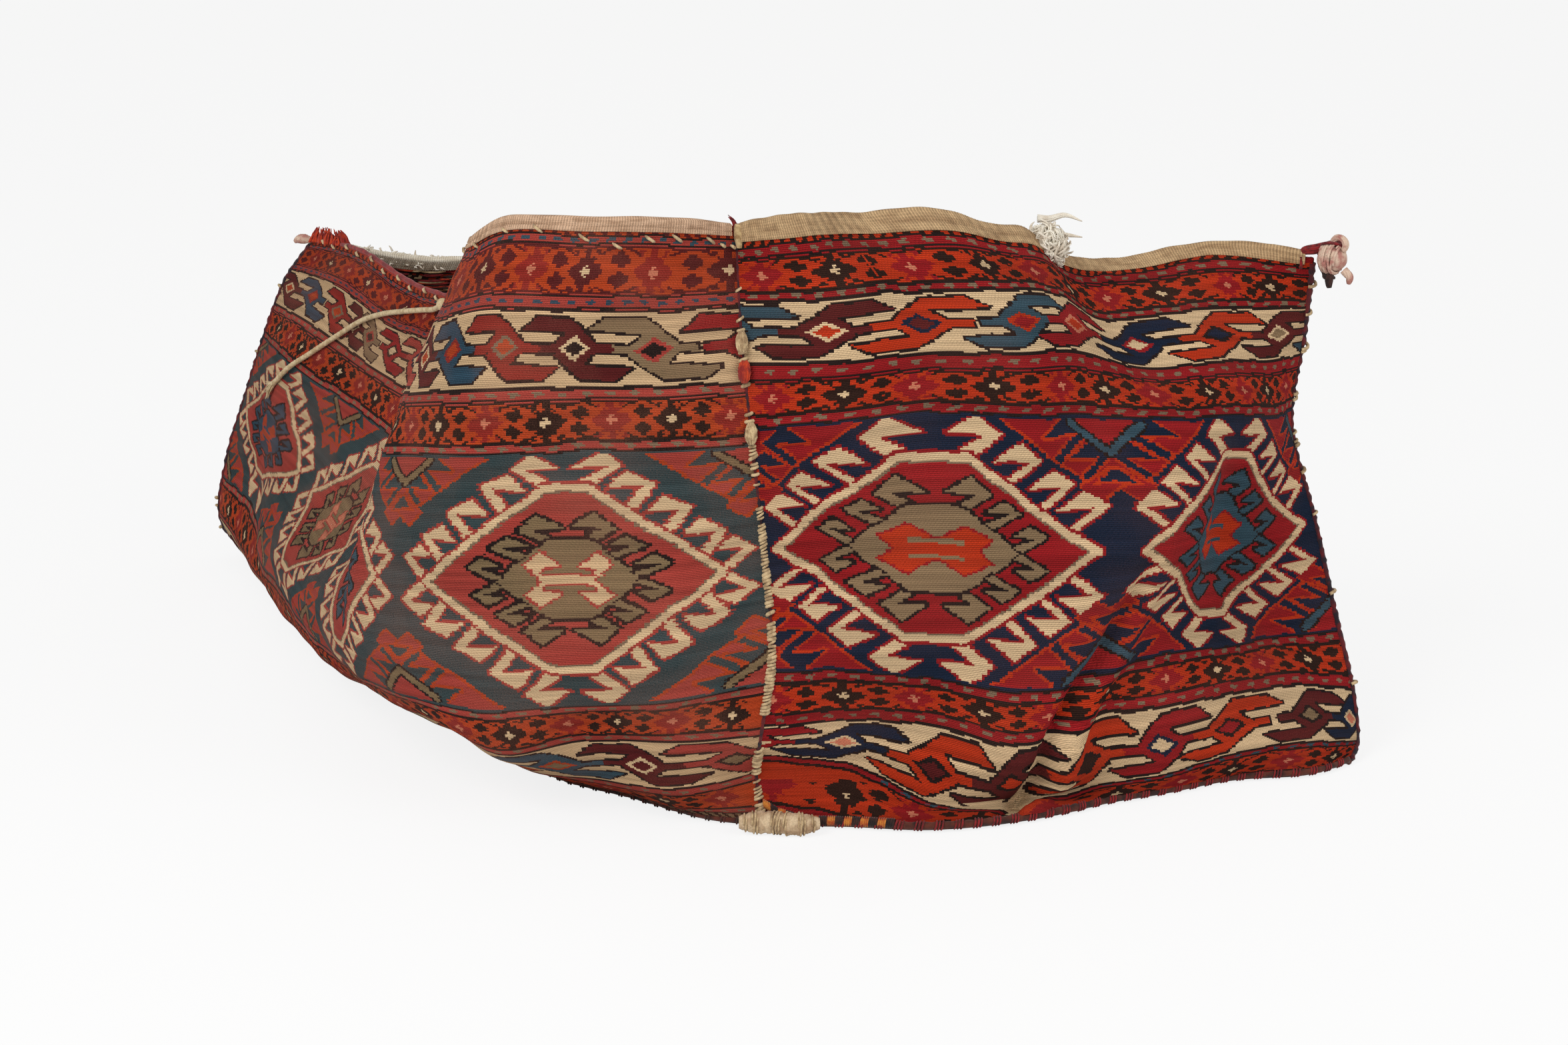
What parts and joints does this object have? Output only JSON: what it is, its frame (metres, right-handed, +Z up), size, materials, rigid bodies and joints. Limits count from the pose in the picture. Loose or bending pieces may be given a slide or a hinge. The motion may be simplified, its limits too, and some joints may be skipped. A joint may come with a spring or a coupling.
{
  "type": "kilim bag",
  "caption": "Open-topped, box-shaped storage bag of flat-woven wool that stands on its base, with patterned walls, overcast corner seams and a plain-weave hem round the rim.",
  "frame": {"origin": "middle of the flat base cloth, on the surface that the bag stands on", "axes": "+Z up; the picture looks along +Y, 15 degrees downwards; +X points to the picture's right, so the long wall faces -Y and -X and the end wall faces -Y and +X"},
  "size_m": [1.0065, 0.9908, 0.4777],
  "materials": {
    "brick_red_wool": "matt weft-wrapped wool",
    "madder_red_wool": "matt weft-wrapped wool",
    "beige_plain_weave": "matt ribbed plain weave",
    "cream_overcasting": "matt wound yarn",
    "white_cotton": "matt loose cotton",
    "brown_base_cloth": "matt plain weave",
    "dark_brown_wool": "matt loose wool",
    "cotton_tie_cord": "matt twisted cotton"
  },
  "bodies": {
    "bag": {"back_base_seam": "brown_base_cloth", "back_corner_seam": "cream_overcasting", "back_hem": "beige_plain_weave", "back_wall": "brick_red_wool", "base_corner_roll": "beige_plain_weave", "base_panel": "brown_base_cloth", "corner_knot_loop": "beige_plain_weave", "cotton_horn_lower": "white_cotton", "cotton_horn_upper": "white_cotton", "cotton_tuft": "white_cotton", "front_base_seam": "brown_base_cloth", "front_hem": "beige_plain_weave", "front_wall": "brick_red_wool", "left_corner_knob": "beige_plain_weave", "left_corner_seam": "cream_overcasting", "left_end_base_seam": "brown_base_cloth", "left_end_hem": "beige_plain_weave", "left_end_wall": "madder_red_wool", "left_rim_tip_1": "madder_red_wool", "left_rim_tip_2": "madder_red_wool", "left_rim_tip_3": "madder_red_wool", "left_rim_tip_4": "madder_red_wool", "near_corner_seam": "cream_overcasting", "near_corner_tip": "madder_red_wool", "right_corner_knot": "beige_plain_weave", "right_corner_seam": "cream_overcasting", "right_end_base_seam": "brown_base_cloth", "right_end_hem": "beige_plain_weave", "right_end_wall": "madder_red_wool", "seam_lump_1": "cream_overcasting", "seam_lump_2": "cream_overcasting", "seam_lump_3": "cream_overcasting", "tie_cord": "cotton_tie_cord", "tie_cord_end": "cotton_tie_cord", "tie_knot": "cotton_tie_cord", "tie_loop": "cotton_tie_cord"},
    "tassel": {"tassel_hook": "beige_plain_weave", "tassel_dark_end": "dark_brown_wool"}
  },
  "joints": [
    {"name": "tassel_swing", "type": "hinge", "parent": "bag", "child": "tassel", "pos_m": [0.46327, -0.20862, 0.39955], "axis": [0.7807, -0.6249, 0], "range_deg": [-30, 30]}
  ]
}
